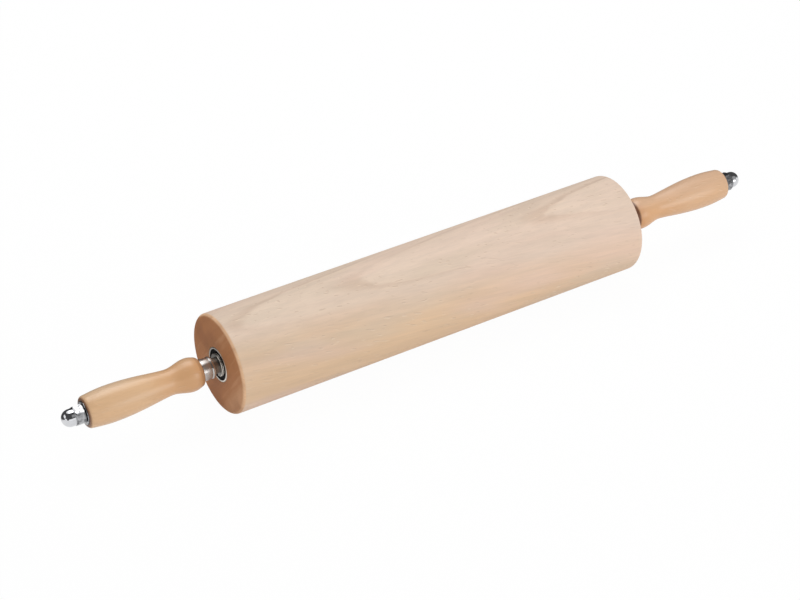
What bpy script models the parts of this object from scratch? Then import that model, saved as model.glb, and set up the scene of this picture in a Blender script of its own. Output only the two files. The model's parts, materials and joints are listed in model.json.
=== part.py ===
"""A rolling pin: a hardwood roller that turns on two ball bearings round a steel rod.

The pin lies along X on the plane z = 0, and the origin is under the middle of the roller.
Each end is drawn once, with its own Z axis pointing outwards from the roller's end face,
and then placed at the left end (towards -X) and at the right end (towards +X).
The pieces that turn with the handles hang from the empty axle_turn, and the balls and
their cages from left_cage_turn and right_cage_turn. All of them turn about their own Z.
"""

import math

import bmesh
import bpy
from mathutils import Matrix

MM = 0.001

# The roller
ROLLER_LENGTH = 381.0 * MM
ROLLER_DIAMETER = 82.55 * MM
ROLLER_EDGE_RADIUS = 3.2 * MM

# The rod: thick where the bearings run, thinner through the handles
ROD_DIAMETER = 12.7 * MM
ROD_END_DIAMETER = 9.525 * MM
ROD_END_CHAMFER = 0.8 * MM
ROD_NECK_LENGTH = 5.0 * MM

# The ball bearings. A race's floor is what is left of it behind its groove,
# the race gap is the open ring between the two races beside the balls,
# and the race rim is what is left of the outer race round a seal.
BALL_DIAMETER = 3.97 * MM
BALL_COUNT = 8
INNER_RACE_FLOOR = 2.2 * MM
OUTER_RACE_FLOOR = 1.27 * MM
RACE_GAP = 2.64 * MM
RACE_RIM = 1.3 * MM
RACE_CHAMFER = 0.5 * MM
CAGE_WALL = 1.2 * MM
CAGE_RAIL = 0.5 * MM
SEAL_THICKNESS = 0.6 * MM
SEAL_RECESS = 0.5 * MM

# The spring rings that keep the bearings on the rod
RETAINING_RING_WIDTH = 3.4 * MM
RETAINING_RING_THICKNESS = 1.0 * MM
RETAINING_RING_OPENING = 3.0 * MM
RETAINING_GROOVE_DEPTH = 0.45 * MM

# The ferrules
FERRULE_DIAMETER = 18.0 * MM
FERRULE_LENGTH = 10.6 * MM
FERRULE_EDGE_RADIUS = 1.0 * MM

# The handles. The bead and the waist are measured from the inner end, the swell from the outer.
HANDLE_LENGTH = 98.2 * MM
HANDLE_INNER_DIAMETER = 24.0 * MM
HANDLE_INNER_EDGE_RADIUS = 2.2 * MM
HANDLE_BEAD_DIAMETER = 27.0 * MM
HANDLE_BEAD_DISTANCE = 8.6 * MM
HANDLE_WAIST_DIAMETER = 20.8 * MM
HANDLE_WAIST_DISTANCE = 26.6 * MM
HANDLE_SWELL_DIAMETER = 29.0 * MM
HANDLE_SWELL_INSET = 21.7 * MM
HANDLE_OUTER_DIAMETER = 26.0 * MM
HANDLE_OUTER_EDGE_RADIUS = 2.8 * MM
HANDLE_LIP = 0.25 * MM

# The washers, each sunk part of its thickness into the handle
WASHER_DIAMETER = 19.05 * MM
WASHER_THICKNESS = 1.6 * MM
WASHER_RECESS = 1.2 * MM
WASHER_EDGE = 0.4 * MM

# The acorn nuts. The shoulder and the foot are how far down the corners are cut away,
# and the steps are how far the dome and the shoulder's rim stand in from the flats.
NUT_ACROSS_FLATS = 14.29 * MM
NUT_HEX_HEIGHT = 8.1 * MM
NUT_HEIGHT = 17.4 * MM
NUT_SHOULDER = 1.2 * MM
NUT_FOOT = 0.5 * MM
NUT_RIM_STEP = 0.1 * MM
NUT_DOME_STEP = 0.25 * MM
NUT_TOP_WALL = 4.7 * MM
NUT_TURN = math.radians(15.0)

# Clearances
SEAT_GAP = 0.3 * MM
PRESS_GAP = 0.1 * MM
ROD_CLEARANCE = 0.1 * MM
BALL_CLEARANCE = 0.2 * MM
RUNNING_CLEARANCE = 0.2 * MM
BORE_CLEARANCE = 0.5 * MM

# Shape of the handle's curve: how soon it swells after the waist, and its slope at the mouth
SWELL_LEAN = 0.72
MOUTH_SLOPE = 22.0

# How many flat sides or straight steps stand for a round surface
ROLLER_SIDES = 32
ROUND_SIDES = 24
POCKET_SIDES = 12
BALL_SIDES = 8
BALL_RINGS = 6
ARC_STEPS = 3
GROOVE_STEPS = 4
DOME_STEPS = 7
HANDLE_STEPS = 6
SHARP_EDGE = math.radians(40.0)

# Radii that follow from the sizes above
ROD_RADIUS = ROD_DIAMETER / 2
ROD_END_RADIUS = ROD_END_DIAMETER / 2
SLEEVE_BORE_RADIUS = ROD_END_RADIUS + ROD_CLEARANCE
BALL_ROOM_RADIUS = BALL_DIAMETER / 2 + BALL_CLEARANCE
RACE_BORE_RADIUS = ROD_RADIUS + PRESS_GAP
PITCH_RADIUS = RACE_BORE_RADIUS + INNER_RACE_FLOOR + BALL_ROOM_RADIUS
INNER_LAND_RADIUS = PITCH_RADIUS - RACE_GAP / 2
OUTER_LAND_RADIUS = PITCH_RADIUS + RACE_GAP / 2
BEARING_RADIUS = PITCH_RADIUS + BALL_ROOM_RADIUS + OUTER_RACE_FLOOR
SEAL_SEAT_RADIUS = BEARING_RADIUS - RACE_RIM
BEARING_SEAT_RADIUS = BEARING_RADIUS + SEAT_GAP
ROLLER_BORE_RADIUS = INNER_LAND_RADIUS + BORE_CLEARANCE
RING_GROOVE_RADIUS = ROD_RADIUS - RETAINING_GROOVE_DEPTH
WASHER_SEAT_RADIUS = WASHER_DIAMETER / 2 + SEAT_GAP
HANDLE_OUTER_WALL = HANDLE_OUTER_DIAMETER / 2 - WASHER_SEAT_RADIUS

# Widths that follow from the sizes above
CAGE_WIDTH = 2 * (BALL_ROOM_RADIUS + CAGE_RAIL)
BEARING_WIDTH = CAGE_WIDTH + 2 * (RUNNING_CLEARANCE + SEAL_THICKNESS + SEAL_RECESS)
SEAL_SEAT_DEPTH = SEAL_RECESS + SEAL_THICKNESS + PRESS_GAP

# Places along an end's own Z axis, from the roller's end face outwards
BEARING_MIDDLE = -BEARING_WIDTH / 2
SEAT_FLOOR = -(BEARING_WIDTH + SEAT_GAP)
RING_START = PRESS_GAP
RING_END = RING_START + RETAINING_RING_THICKNESS
FERRULE_START = ROD_NECK_LENGTH + SEAT_GAP
FERRULE_END = FERRULE_START + FERRULE_LENGTH
HANDLE_START = FERRULE_END + SEAT_GAP
HANDLE_END = HANDLE_START + HANDLE_LENGTH
WASHER_SEAT = HANDLE_END - WASHER_RECESS
WASHER_START = WASHER_SEAT + SEAT_GAP
WASHER_END = WASHER_START + WASHER_THICKNESS
NUT_START = WASHER_END + SEAT_GAP
NUT_HEX_END = NUT_START + NUT_HEX_HEIGHT
NUT_END = NUT_START + NUT_HEIGHT
NUT_HOLE_FLOOR = NUT_END - NUT_TOP_WALL
ROD_TIP = NUT_HOLE_FLOOR - SEAT_GAP

# Colour, roughness and metallic value
LOOKS = {
    "roller_wood": ((0.80, 0.66, 0.52), 0.62, 0.0),
    "handle_wood": ((0.74, 0.53, 0.33), 0.35, 0.0),
    "chrome": ((0.80, 0.80, 0.81), 0.08, 1.0),
    "nickel": ((0.72, 0.71, 0.69), 0.18, 1.0),
    "steel": ((0.55, 0.54, 0.53), 0.35, 1.0),
    "seal_rubber": ((0.02, 0.02, 0.02), 0.60, 0.0),
}


def clear_scene():
    for old in list(bpy.data.objects):
        bpy.data.objects.remove(old)


def new_collection(name):
    collection = bpy.data.collections.new(name)
    bpy.context.scene.collection.children.link(collection)
    return collection


def new_material(name, look):
    colour, roughness, metallic = LOOKS[look]
    material = bpy.data.materials.new(name + "_" + look)
    material.use_nodes = True
    shader = material.node_tree.nodes["Principled BSDF"]
    shader.inputs["Base Color"].default_value = (*colour, 1.0)
    shader.inputs["Roughness"].default_value = roughness
    shader.inputs["Metallic"].default_value = metallic
    return material


def new_empty(name, place=(0, 0, 0), turn=(0, 0, 0), parent=None):
    empty = bpy.data.objects.new(name, None)
    empty.empty_display_size = 20 * MM
    empty.location = place
    empty.rotation_euler = turn
    empty.parent = parent
    parts.objects.link(empty)
    return empty


def new_piece(name, mesh, look, parent):
    piece = bpy.data.objects.new(name, mesh)
    piece.parent = parent
    parts.objects.link(piece)
    mesh.materials.append(new_material(name, look))
    return piece


def new_cutter(name, mesh, parent):
    cutter = bpy.data.objects.new(name, mesh)
    cutter.parent = parent
    cutter.hide_render = True
    cutter.display_type = "WIRE"
    cutters.objects.link(cutter)
    return cutter


def combine(piece, other, operation):
    modifier = piece.modifiers.new(operation.lower(), "BOOLEAN")
    modifier.operation = operation
    modifier.solver = "EXACT"
    modifier.object = other


def bmesh_to_mesh(name, shape):
    mesh = bpy.data.meshes.new(name)
    shape.to_mesh(mesh)
    shape.free()
    return mesh


def outline_mesh(name, outline, sides, closed):
    """An outline of (radius, height) points that runs down the outer side of a turned shape.

    A closed outline goes back up the inner side, and an open one starts and ends on the axis.
    The points stand a little further out than the outline, where the corners of the turned
    shape come, so that the middles of its flat sides lie at the stated radius.
    """
    to_corner = 1 / math.cos(math.pi / sides)
    points = [(radius * to_corner, 0.0, height) for radius, height in outline]
    edges = [(i, i + 1) for i in range(len(points) - 1)]
    if closed:
        edges.append((len(points) - 1, 0))
    mesh = bpy.data.meshes.new(name)
    mesh.from_pydata(points, edges, [])
    return mesh


def turn_on_lathe(piece, sides):
    """Spin the outline round the piece's own Z axis, with one flat side facing straight down."""
    screw = piece.modifiers.new("lathe", "SCREW")
    screw.axis = "Z"
    screw.angle = 2 * math.pi
    screw.steps = sides
    screw.render_steps = sides
    screw.use_merge_vertices = True
    screw.merge_threshold = 0.00001
    piece.rotation_euler.z = math.pi / sides


def turned_piece(name, outline, look, parent, sides=ROUND_SIDES, closed=True):
    piece = new_piece(name, outline_mesh(name, outline, sides, closed), look, parent)
    turn_on_lathe(piece, sides)
    return piece


def turned_cutter(name, outline, parent):
    """A turned cutter without a bore, so its outline starts and ends on the axis."""
    mesh = outline_mesh(name, outline, ROUND_SIDES, closed=False)
    cutter = new_cutter(name, mesh, parent)
    turn_on_lathe(cutter, ROUND_SIDES)
    return cutter


def arc(centre, radius, first, last, steps=ARC_STEPS):
    """Points on an arc between two angles in degrees, from 0 for outwards to 90 for upwards."""
    points = []
    for i in range(steps + 1):
        angle = math.radians(first + (last - first) * i / steps)
        points.append((centre[0] + radius * math.cos(angle), centre[1] + radius * math.sin(angle)))
    return points


def both_halves(upper_half):
    """The upper half of an outline, followed by the same points mirrored in the plane z = 0."""
    return upper_half + [(radius, -height) for radius, height in reversed(upper_half)]


def ring_outline(inner, outer, bottom, top):
    return [(outer, top), (outer, bottom), (inner, bottom), (inner, top)]


def make_roller(parent):
    """The wooden barrel, bored through, with a seat for a bearing in each end."""
    face = ROLLER_LENGTH / 2
    edge_centre = (ROLLER_DIAMETER / 2 - ROLLER_EDGE_RADIUS, face - ROLLER_EDGE_RADIUS)
    upper_half = [
        (ROLLER_BORE_RADIUS, face + SEAT_FLOOR),
        (BEARING_SEAT_RADIUS, face + SEAT_FLOOR),
        (BEARING_SEAT_RADIUS, face),
        *arc(edge_centre, ROLLER_EDGE_RADIUS, 90, 0),
    ]
    turned_piece("roller", both_halves(upper_half), "roller_wood", parent, ROLLER_SIDES)


def make_axle_rod(parent):
    """One rod from nut to nut, with a groove for each retaining ring and a shoulder at each neck."""
    face = ROLLER_LENGTH / 2
    groove_start = face + RING_START - PRESS_GAP / 2
    groove_end = face + RING_END + PRESS_GAP / 2
    upper_half = [
        (0.0, face + ROD_TIP),
        (ROD_END_RADIUS - ROD_END_CHAMFER, face + ROD_TIP),
        (ROD_END_RADIUS, face + ROD_TIP - ROD_END_CHAMFER),
        (ROD_END_RADIUS, face + ROD_NECK_LENGTH),
        (ROD_RADIUS, face + ROD_NECK_LENGTH),
        (ROD_RADIUS, groove_end),
        (RING_GROOVE_RADIUS, groove_end),
        (RING_GROOVE_RADIUS, groove_start),
        (ROD_RADIUS, groove_start),
    ]
    turned_piece("axle_rod", both_halves(upper_half), "steel", parent, closed=False)


def groove_reach():
    """The angle from the middle of a race's groove to its edge, seen from the ball's centre."""
    return math.degrees(math.acos(RACE_GAP / 2 / BALL_ROOM_RADIUS))


def make_outer_race(side, parent):
    """The race that is pressed into the roller, with a seat for a seal at each face."""
    reach = groove_reach()
    outline = [
        (BEARING_RADIUS - RACE_CHAMFER, 0.0),
        (BEARING_RADIUS, -RACE_CHAMFER),
        (BEARING_RADIUS, -BEARING_WIDTH + RACE_CHAMFER),
        (BEARING_RADIUS - RACE_CHAMFER, -BEARING_WIDTH),
        (SEAL_SEAT_RADIUS, -BEARING_WIDTH),
        (SEAL_SEAT_RADIUS, -BEARING_WIDTH + SEAL_SEAT_DEPTH),
        (OUTER_LAND_RADIUS, -BEARING_WIDTH + SEAL_SEAT_DEPTH),
        *arc((PITCH_RADIUS, BEARING_MIDDLE), BALL_ROOM_RADIUS, -reach, reach, GROOVE_STEPS),
        (OUTER_LAND_RADIUS, -SEAL_SEAT_DEPTH),
        (SEAL_SEAT_RADIUS, -SEAL_SEAT_DEPTH),
        (SEAL_SEAT_RADIUS, 0.0),
    ]
    turned_piece(side + "_bearing_outer_race", outline, "steel", parent)


def make_inner_race(side, parent):
    reach = groove_reach()
    outline = [
        (INNER_LAND_RADIUS - RACE_CHAMFER, 0.0),
        (INNER_LAND_RADIUS, -RACE_CHAMFER),
        *arc((PITCH_RADIUS, BEARING_MIDDLE), BALL_ROOM_RADIUS, 180 - reach, 180 + reach, GROOVE_STEPS),
        (INNER_LAND_RADIUS, -BEARING_WIDTH + RACE_CHAMFER),
        (INNER_LAND_RADIUS - RACE_CHAMFER, -BEARING_WIDTH),
        (RACE_BORE_RADIUS, -BEARING_WIDTH),
        (RACE_BORE_RADIUS, 0.0),
    ]
    turned_piece(side + "_bearing_inner_race", outline, "steel", parent)


def make_seals(side, parent):
    """A thin rubber ring near each face of the bearing, in the outer race's seat."""
    inner = INNER_LAND_RADIUS + RUNNING_CLEARANCE
    outer = SEAL_SEAT_RADIUS - PRESS_GAP
    front_top = -SEAL_RECESS
    back_top = -BEARING_WIDTH + SEAL_RECESS + SEAL_THICKNESS
    for place, top in {"front": front_top, "back": back_top}.items():
        outline = ring_outline(inner, outer, top - SEAL_THICKNESS, top)
        turned_piece(side + "_bearing_" + place + "_seal", outline, "seal_rubber", parent)


def ball_angles():
    return [2 * math.pi * i / BALL_COUNT for i in range(BALL_COUNT)]


def make_cage(side, parent):
    """A ring on the balls' pitch circle, with a round pocket for each ball."""
    outline = ring_outline(
        PITCH_RADIUS - CAGE_WALL / 2,
        PITCH_RADIUS + CAGE_WALL / 2,
        BEARING_MIDDLE - CAGE_WIDTH / 2,
        BEARING_MIDDLE + CAGE_WIDTH / 2,
    )
    cage = turned_piece(side + "_bearing_cage", outline, "steel", parent)
    pockets = bmesh.new()
    pocket_radius = BALL_ROOM_RADIUS / math.cos(math.pi / POCKET_SIDES)
    for angle in ball_angles():
        place = Matrix.Rotation(angle, 4, "Z") @ Matrix.Translation((PITCH_RADIUS, 0, BEARING_MIDDLE))
        bmesh.ops.create_cone(
            pockets,
            cap_ends=True,
            segments=POCKET_SIDES,
            radius1=pocket_radius,
            radius2=pocket_radius,
            depth=2 * CAGE_WALL,
            matrix=place @ Matrix.Rotation(math.pi / 2, 4, "Y"),
        )
    name = side + "_pockets"
    combine(cage, new_cutter(name, bmesh_to_mesh(name, pockets), parent), "DIFFERENCE")


def make_balls(side, parent):
    for number, angle in enumerate(ball_angles(), start=1):
        name = side + "_bearing_ball_" + str(number)
        shape = bmesh.new()
        bmesh.ops.create_uvsphere(
            shape,
            u_segments=BALL_SIDES,
            v_segments=BALL_RINGS,
            radius=BALL_DIAMETER / 2,
        )
        ball = new_piece(name, bmesh_to_mesh(name, shape), "steel", parent)
        ball.location = (PITCH_RADIUS * math.cos(angle), PITCH_RADIUS * math.sin(angle), BEARING_MIDDLE)
        ball.rotation_euler.z = angle


def make_retaining_ring(side, parent):
    """An open spring ring in the rod's groove, in front of the bearing's inner race."""
    inner = RING_GROOVE_RADIUS + PRESS_GAP
    outer = inner + RETAINING_RING_WIDTH
    outline = ring_outline(inner, outer, RING_START, RING_END)
    ring = turned_piece(side + "_retaining_ring", outline, "steel", parent)
    shape = bmesh.new()
    size = Matrix.Diagonal((outer, RETAINING_RING_OPENING, 2 * RETAINING_RING_THICKNESS, 1.0))
    place = Matrix.Translation((-outer, 0, (RING_START + RING_END) / 2))
    bmesh.ops.create_cube(shape, size=1.0, matrix=place @ size)
    name = side + "_ring_opening"
    combine(ring, new_cutter(name, bmesh_to_mesh(name, shape), parent), "DIFFERENCE")


def make_ferrule(side, parent):
    """The bright sleeve between the rod's shoulder and the handle."""
    outer = FERRULE_DIAMETER / 2
    edge_centre = (outer - FERRULE_EDGE_RADIUS, FERRULE_START + FERRULE_EDGE_RADIUS)
    outline = [
        (outer, FERRULE_END),
        *arc(edge_centre, FERRULE_EDGE_RADIUS, 0, -90),
        (SLEEVE_BORE_RADIUS, FERRULE_START),
        (SLEEVE_BORE_RADIUS, FERRULE_END),
    ]
    turned_piece(side + "_ferrule", outline, "nickel", parent)


def swept(start, end, steps, ease):
    """Points after the start, up to the end. The radius follows ease(share) from 0 to 1."""
    points = []
    for i in range(1, steps + 1):
        share = i / steps
        radius = start[0] + (end[0] - start[0]) * ease(share)
        points.append((radius, start[1] + (end[1] - start[1]) * share))
    return points


def rise_to_crest(share):
    return math.sin(math.pi / 2 * share)


def fall_from_crest(share):
    return 1 - math.cos(math.pi / 2 * share)


def crest_to_hollow(share):
    return (1 - math.cos(math.pi * share)) / 2


def hollow_to_swell(share):
    return (1 - math.cos(math.pi * share**SWELL_LEAN)) / 2


def handle_outline():
    """The outside of the handle from its inner end outwards, as (radius, distance) points."""
    inner_edge = (HANDLE_INNER_DIAMETER / 2 - HANDLE_INNER_EDGE_RADIUS, HANDLE_INNER_EDGE_RADIUS)
    bead = (HANDLE_BEAD_DIAMETER / 2, HANDLE_BEAD_DISTANCE)
    waist = (HANDLE_WAIST_DIAMETER / 2, HANDLE_WAIST_DISTANCE)
    swell = (HANDLE_SWELL_DIAMETER / 2, HANDLE_LENGTH - HANDLE_SWELL_INSET)
    edge_radius = min(HANDLE_OUTER_EDGE_RADIUS, HANDLE_OUTER_WALL - HANDLE_LIP)
    shoulder = (HANDLE_OUTER_DIAMETER / 2, HANDLE_LENGTH - edge_radius)
    outer_edge = (shoulder[0] - edge_radius, shoulder[1])
    outline = arc(inner_edge, HANDLE_INNER_EDGE_RADIUS, -90, -MOUTH_SLOPE)
    outline += swept(outline[-1], bead, ARC_STEPS, rise_to_crest)
    outline += swept(bead, waist, HANDLE_STEPS, crest_to_hollow)
    outline += swept(waist, swell, HANDLE_STEPS, hollow_to_swell)
    outline += swept(swell, shoulder, ARC_STEPS, fall_from_crest)
    outline += arc(outer_edge, edge_radius, 0, 90)[1:]
    return outline


def make_handle(side, parent):
    """The wooden handle, with a bore for the rod and a seat for the washer in its outer end."""
    outside = [(radius, HANDLE_START + distance) for radius, distance in reversed(handle_outline())]
    outline = [
        *outside,
        (SLEEVE_BORE_RADIUS, HANDLE_START),
        (SLEEVE_BORE_RADIUS, WASHER_SEAT),
        (WASHER_SEAT_RADIUS, WASHER_SEAT),
        (WASHER_SEAT_RADIUS, HANDLE_END),
    ]
    turned_piece(side + "_handle", outline, "handle_wood", parent)


def make_washer(side, parent):
    outer = WASHER_DIAMETER / 2
    outline = [
        (outer - WASHER_EDGE, WASHER_END),
        (outer, WASHER_END - WASHER_EDGE),
        (outer, WASHER_START + WASHER_EDGE),
        (outer - WASHER_EDGE, WASHER_START),
        (SLEEVE_BORE_RADIUS, WASHER_START),
        (SLEEVE_BORE_RADIUS, WASHER_END),
    ]
    turned_piece(side + "_end_washer", outline, "chrome", parent)


def make_acorn_nut(side, parent):
    """A hexagon with its corners cut back, a dome on its outer end and a blind hole for the rod."""
    flat_radius = NUT_ACROSS_FLATS / 2
    corner_radius = flat_radius / math.cos(math.pi / 6)
    shape = bmesh.new()
    place = Matrix.Translation((0, 0, (NUT_START + NUT_HEX_END) / 2))
    bmesh.ops.create_cone(
        shape,
        cap_ends=True,
        segments=6,
        radius1=corner_radius,
        radius2=corner_radius,
        depth=NUT_HEX_HEIGHT,
        matrix=place @ Matrix.Rotation(NUT_TURN + math.pi / 6, 4, "Z"),
    )
    name = side + "_acorn_nut"
    nut = new_piece(name, bmesh_to_mesh(name, shape), "chrome", parent)

    # The cones pass through the rim at each end of the hexagon and meet its corners lower down
    rim_radius = flat_radius - NUT_RIM_STEP
    widening = corner_radius - rim_radius
    past_end = 0.1
    cones = [
        (0.0, NUT_HEX_END + past_end * NUT_SHOULDER),
        (rim_radius - past_end * widening, NUT_HEX_END + past_end * NUT_SHOULDER),
        (rim_radius + 2 * widening, NUT_HEX_END - 2 * NUT_SHOULDER),
        (rim_radius + 2 * widening, NUT_START + 2 * NUT_FOOT),
        (rim_radius - past_end * widening, NUT_START - past_end * NUT_FOOT),
        (0.0, NUT_START - past_end * NUT_FOOT),
    ]
    combine(nut, turned_cutter(side + "_nut_cones", cones, parent), "INTERSECT")

    dome_radius = flat_radius - NUT_DOME_STEP
    dome = [
        *arc((0.0, NUT_END - dome_radius), dome_radius, 90, 0, DOME_STEPS),
        (dome_radius, NUT_HEX_END - NUT_SHOULDER),
        (0.0, NUT_HEX_END - NUT_SHOULDER),
    ]
    combine(nut, turned_cutter(side + "_nut_dome", dome, parent), "UNION")

    hole = [
        (0.0, NUT_HOLE_FLOOR),
        (SLEEVE_BORE_RADIUS, NUT_HOLE_FLOOR),
        (SLEEVE_BORE_RADIUS, NUT_START - SEAT_GAP),
        (0.0, NUT_START - SEAT_GAP),
    ]
    combine(nut, turned_cutter(side + "_nut_hole", hole, parent), "DIFFERENCE")


def make_end(side, place, turn):
    """All the pieces at one end, drawn along the local Z axis from the roller's face outwards."""
    in_roller = new_empty(side + "_end_in_roller", place, turn, pin_axis)
    make_outer_race(side, in_roller)
    make_seals(side, in_roller)

    cage_turn = new_empty(side + "_cage_turn", parent=in_roller)
    make_cage(side, cage_turn)
    make_balls(side, cage_turn)

    on_axle = new_empty(side + "_end_on_axle", place, turn, axle_turn)
    make_inner_race(side, on_axle)
    make_retaining_ring(side, on_axle)
    make_ferrule(side, on_axle)
    make_handle(side, on_axle)
    make_washer(side, on_axle)
    make_acorn_nut(side, on_axle)


def apply_and_shade(piece):
    """Apply the piece's modifiers, and shade it smooth between its sharp edges."""
    evaluated = piece.evaluated_get(bpy.context.evaluated_depsgraph_get())
    mesh = bpy.data.meshes.new_from_object(evaluated)
    outline = piece.data
    piece.modifiers.clear()
    piece.data = mesh
    bpy.data.meshes.remove(outline)
    mesh.name = piece.name
    mesh.shade_smooth()
    mesh.set_sharp_from_angle(angle=SHARP_EDGE)


clear_scene()
parts = new_collection("rolling_pin")
cutters = new_collection("cutters")

# Its own Z axis points along the world's X axis
pin_axis = new_empty("pin_axis", place=(0, 0, ROLLER_DIAMETER / 2), turn=(0, math.pi / 2, 0))
axle_turn = new_empty("axle_turn", parent=pin_axis)
make_roller(pin_axis)
make_axle_rod(axle_turn)
make_end("left", place=(0, 0, -ROLLER_LENGTH / 2), turn=(0, math.pi, 0))
make_end("right", place=(0, 0, ROLLER_LENGTH / 2), turn=(0, 0, 0))

for made in parts.objects:
    if made.type == "MESH":
        apply_and_shade(made)
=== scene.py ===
"""The rolling pin dressed for its picture: fine pieces, their materials, floor, light and camera.

Each end is drawn once, with its own Z axis pointing outwards from the roller's end face,
and then set at the left end (towards -X) and at the right end (towards +X).
"""

import json
import math

import bmesh
import bpy
from mathutils import Matrix, Vector

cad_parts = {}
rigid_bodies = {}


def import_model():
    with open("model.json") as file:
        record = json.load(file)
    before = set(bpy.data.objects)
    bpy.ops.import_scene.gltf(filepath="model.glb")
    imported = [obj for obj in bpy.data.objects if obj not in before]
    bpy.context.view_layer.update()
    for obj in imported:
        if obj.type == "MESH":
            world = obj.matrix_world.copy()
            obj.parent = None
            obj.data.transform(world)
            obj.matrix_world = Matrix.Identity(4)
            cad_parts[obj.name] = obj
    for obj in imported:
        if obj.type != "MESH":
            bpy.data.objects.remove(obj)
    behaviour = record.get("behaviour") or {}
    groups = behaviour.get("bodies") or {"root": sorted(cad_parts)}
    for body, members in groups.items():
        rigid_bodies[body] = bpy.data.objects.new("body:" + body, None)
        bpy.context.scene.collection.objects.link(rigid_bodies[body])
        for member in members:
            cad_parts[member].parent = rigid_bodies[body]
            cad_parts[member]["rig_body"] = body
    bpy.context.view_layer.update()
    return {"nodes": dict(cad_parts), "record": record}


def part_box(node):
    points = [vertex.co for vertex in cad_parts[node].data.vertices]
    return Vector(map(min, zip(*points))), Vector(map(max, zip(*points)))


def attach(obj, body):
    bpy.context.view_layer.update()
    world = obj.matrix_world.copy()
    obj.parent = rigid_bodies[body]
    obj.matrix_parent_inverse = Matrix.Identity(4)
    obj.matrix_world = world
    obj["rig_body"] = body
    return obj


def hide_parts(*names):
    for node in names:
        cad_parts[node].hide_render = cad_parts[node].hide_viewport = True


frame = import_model()

MM = 0.001

# Points nearer to each other than this become one
WELD = 0.0005 * MM

# The camera, fitted to the pin's outline: an orbit round the middle of the axis, then a step aside.
# The focal length is in pixels, and the sensor's width in millimetres.
AZIMUTH = math.radians(-32.119)
ELEVATION = math.radians(35.086)
DISTANCE = 1868.3 * MM
STEP_RIGHT = -20.0 * MM
STEP_UP = -8.05 * MM
FOCAL_LENGTH = 2303.0
IMAGE_WIDTH = 800
SENSOR_WIDTH = 36.0
CAMERA_CLIP = 50.0 * MM

# The floor: its tone for the light and for the camera, and how much of the camera's view of it
# is glow. Mirrors see it with the first brightness in front, and with the second beyond its edge
# behind the axis.
FLOOR_SIZE = 8.0
FLOOR_BOUNCE = (0.85, 0.85, 0.85, 1.0)
FLOOR_SEEN = (1.0, 1.0, 1.0, 1.0)
FLOOR_WHITENESS = 0.97
FLOOR_MIRRORED = (0.85, 0.07)
FLOOR_EDGE = (0.04, 0.10)

# The room that mirrors see: panels, as a direction, the cosines of their soft edge and a
# brightness, before dark walls and a bright front. The front's side and top are the soft edges
# of a direction's Y and Z.
ROOM_DARK = (0.07, 0.07, 0.07, 1.0)
ROOM_PANELS = [
    ((0.10, 0.50, 0.86), (0.89, 0.93), 1.0),
    ((-0.97, -0.10, 0.15), (0.970, 0.985), 1.0),
    ((-0.89, 0.21, 0.41), (0.970, 0.980), 1.0),
    ((-0.76, 0.47, 0.45), (0.975, 0.985), 1.0),
    ((-0.72, -0.61, 0.30), (0.945, 0.960), 0.0),
    ((0.55, -0.55, 0.63), (0.88, 0.97), 0.35),
    ((0.60, -0.79, 0.12), (0.93, 0.98), 0.40),
]
FRONT_SIDE = (-0.10, -0.25)
FRONT_TOP = (0.36, 0.28)

# The light: the room's, from its dim to its bright side, and the lamps as a place and a power
AMBIENT_SIDE = (0.25, -0.6, 0.6)
AMBIENT = (0.3, 0.65)
LAMP_SIZE = 1.0
LAMPS = {
    "top_lamp": ((0.20, 0.6, 1.3), 8.0),
    "front_lamp": ((0.8, -1.5, 0.35), 9.5),
}

# How many sides and steps stand for round shapes, the longest step along the nut's outline,
# and the angle from which an edge is sharp
ROLLER_SIDES = 256
ROUND_SIDES = 120
NUT_SIDES = 240
BALL_SIDES = 32
BALL_RINGS = 20
FILLET_STEPS = 6
DOME_STEPS = 40
GROOVE_STEPS = 12
HANDLE_STEPS = 28
NUT_STEP = 0.15 * MM
SHARP_EDGE = math.radians(35.0)

# The roller, from the frame
ROLLER_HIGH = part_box("roller")[1]
FACE = ROLLER_HIGH.x
ROLLER_RADIUS = ROLLER_HIGH.z / 2
ROLLER_EDGE = 3.2 * MM
ROLLER_SEAT_EDGE = 0.25 * MM

# Clearances
SEAT_GAP = 0.3 * MM
PRESS_GAP = 0.1 * MM
RUNNING_CLEARANCE = 0.2 * MM
BORE_CLEARANCE = 0.5 * MM

# The rod
ROD_END_RADIUS = 4.7625 * MM
ROD_END_CHAMFER = 0.8 * MM
SLEEVE_BORE = ROD_END_RADIUS + PRESS_GAP

# The bearing
BALL_COUNT = 8
BALL_ROOM = 2.185 * MM
RACE_GAP = 2.64 * MM
RACE_EDGE = 0.5 * MM
LAND_EDGE = 0.12 * MM

# The retaining ring
RING_OPENING = 3.0 * MM
RING_WIDTH = 3.4 * MM
RING_EDGE = 0.3 * MM
RING_CHAMFER_WIDTH = 0.4 * MM
RING_CHAMFER_HEIGHT = 0.4 * MM

# The seal's face: a lip at each edge and a shallow channel between them
SEAL_LIP = 0.45 * MM
SEAL_CHANNEL = 0.15 * MM
SEAL_EDGE = 0.08 * MM

# The ferrule
FERRULE_INNER_EDGE = 0.9 * MM
FERRULE_OUTER_EDGE = 0.3 * MM
FERRULE_BEAD_WIDTH = 3.2 * MM
FERRULE_BEAD_HEIGHT = 0.35 * MM

# The handle. The bead and the waist are measured from the inner end, the swell from the outer.
HANDLE_INNER_RADIUS = 12.0 * MM
HANDLE_INNER_EDGE = 2.2 * MM
HANDLE_BEAD_RADIUS = 13.5 * MM
HANDLE_BEAD_DISTANCE = 8.6 * MM
HANDLE_WAIST_RADIUS = 10.4 * MM
HANDLE_WAIST_DISTANCE = 26.6 * MM
HANDLE_SWELL_INSET = 21.7 * MM
HANDLE_OUTER_RADIUS = 13.0 * MM
HANDLE_OUTER_EDGE = 2.8 * MM
SWELL_LEAN = 0.72
MOUTH_SLOPE = math.radians(22.0)

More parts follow.
